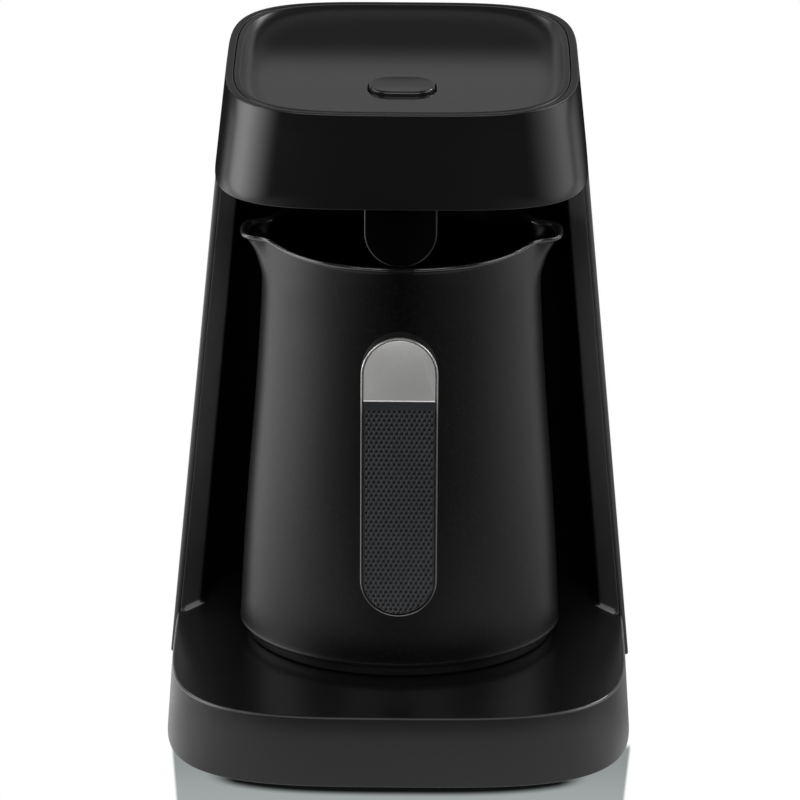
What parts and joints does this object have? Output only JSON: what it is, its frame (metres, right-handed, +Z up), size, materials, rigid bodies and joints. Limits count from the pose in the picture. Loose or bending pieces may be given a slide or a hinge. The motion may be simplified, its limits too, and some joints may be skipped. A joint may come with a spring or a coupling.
{
  "type": "electric turkish coffee maker",
  "caption": "Compact electric coffee maker for foamed Turkish coffee: spouted pot with upright handle standing in a niche between base and head, push button on top.",
  "frame": {"origin": "middle of the footprint on the table, under the feet", "axes": "+Z up, -Y towards the user (handle and button side), +X to the user's right"},
  "size_m": [0.1422, 0.164, 0.2045],
  "materials": {
    "black_abs": "satin moulded black plastic",
    "textured_black_abs": "black plastic with a fine woven relief",
    "button_black": "satin black plastic, bevelled edge",
    "gloss_black": "polished black plastic",
    "ir_window": "dark infrared-transparent plastic",
    "foot_rubber": "soft black rubber",
    "silicone": "grey silicone",
    "screw_steel": "zinc-plated steel",
    "spring_steel": "drawn spring wire",
    "circuit_board": "green solder mask",
    "black_component": "moulded black electrical part",
    "glass_part": "clear glass tube",
    "led_white": "clear moulded lamp",
    "switch_black": "black switch body",
    "lead_insulation": "insulated copper lead",
    "contact_brass": "plated contact metal",
    "heat_plastic": "heat-resistant black plastic",
    "coated_steel": "matte black coating with a fine sparkle",
    "heater_aluminium": "cast aluminium",
    "heater_steel": "sheathed heater, heat-tinted",
    "thermostat_part": "pressed aluminium cap",
    "satin_chrome": "satin chrome",
    "grip_plastic": "dark grey plastic with a woven relief",
    "handle_black": "smooth black plastic",
    "bracket_black": "black coated metal"
  },
  "bodies": {
    "root": {"base_plate": "black_abs", "base_screws": "screw_steel", "base_tray": "black_abs", "board_connector": "black_component", "board_fuse": "glass_part", "board_header": "black_component", "board_screws": "screw_steel", "button_guide": "black_abs", "button_spring": "spring_steel", "buzzer": "black_component", "clamp_screws": "screw_steel", "control_board": "circuit_board", "control_chip": "black_component", "cord_clamp": "black_abs", "cord_gland": "foot_rubber", "filter_capacitor": "black_component", "head_band": "black_abs", "head_cable": "lead_insulation", "head_underside": "black_abs", "housing_screws": "screw_steel", "indicator_led": "led_white", "niche_liner": "black_abs", "pot_socket": "heat_plastic", "power_board": "circuit_board", "power_relay": "black_component", "rear_shell": "textured_black_abs", "rubber_feet": "foot_rubber", "sensor_board": "circuit_board", "sensor_cable": "lead_insulation", "sensor_emitters": "led_white", "sensor_lens": "ir_window", "sensor_nose": "gloss_black", "socket_contacts": "contact_brass", "socket_leads": "lead_insulation", "supply_leads": "lead_insulation", "supply_transformer": "black_component", "tact_switch": "switch_black", "terminal_block": "black_component", "top_cover": "black_abs"},
    "pot": {"pot_vessel": "coated_steel", "pot_base_ring": "heat_plastic", "pot_bottom_cover": "heat_plastic", "pot_seal": "silicone", "heat_plate": "heater_aluminium", "pot_base_screws": "screw_steel", "heating_element": "heater_steel", "thermostat": "thermostat_part", "thermal_fuse": "heater_steel", "pot_plug": "heat_plastic", "plug_blades": "contact_brass", "element_leads": "lead_insulation", "handle_frame": "satin_chrome", "handle_grip": "grip_plastic", "handle_back": "handle_black", "handle_bracket": "bracket_black", "handle_screws": "screw_steel"},
    "button": {"button_cap": "button_black"}
  },
  "joints": [
    {"name": "pot_slide", "type": "slide", "parent": "root", "child": "pot", "axis": [0, -1, 0], "range_m": [0, 0.15]},
    {"name": "button_press", "type": "slide", "parent": "root", "child": "button", "axis": [0, 0, -1], "range_m": [0, 0.0015], "stiffness_N_per_m": 500, "springref_m": -0.002, "deforming": ["button_spring"]}
  ]
}
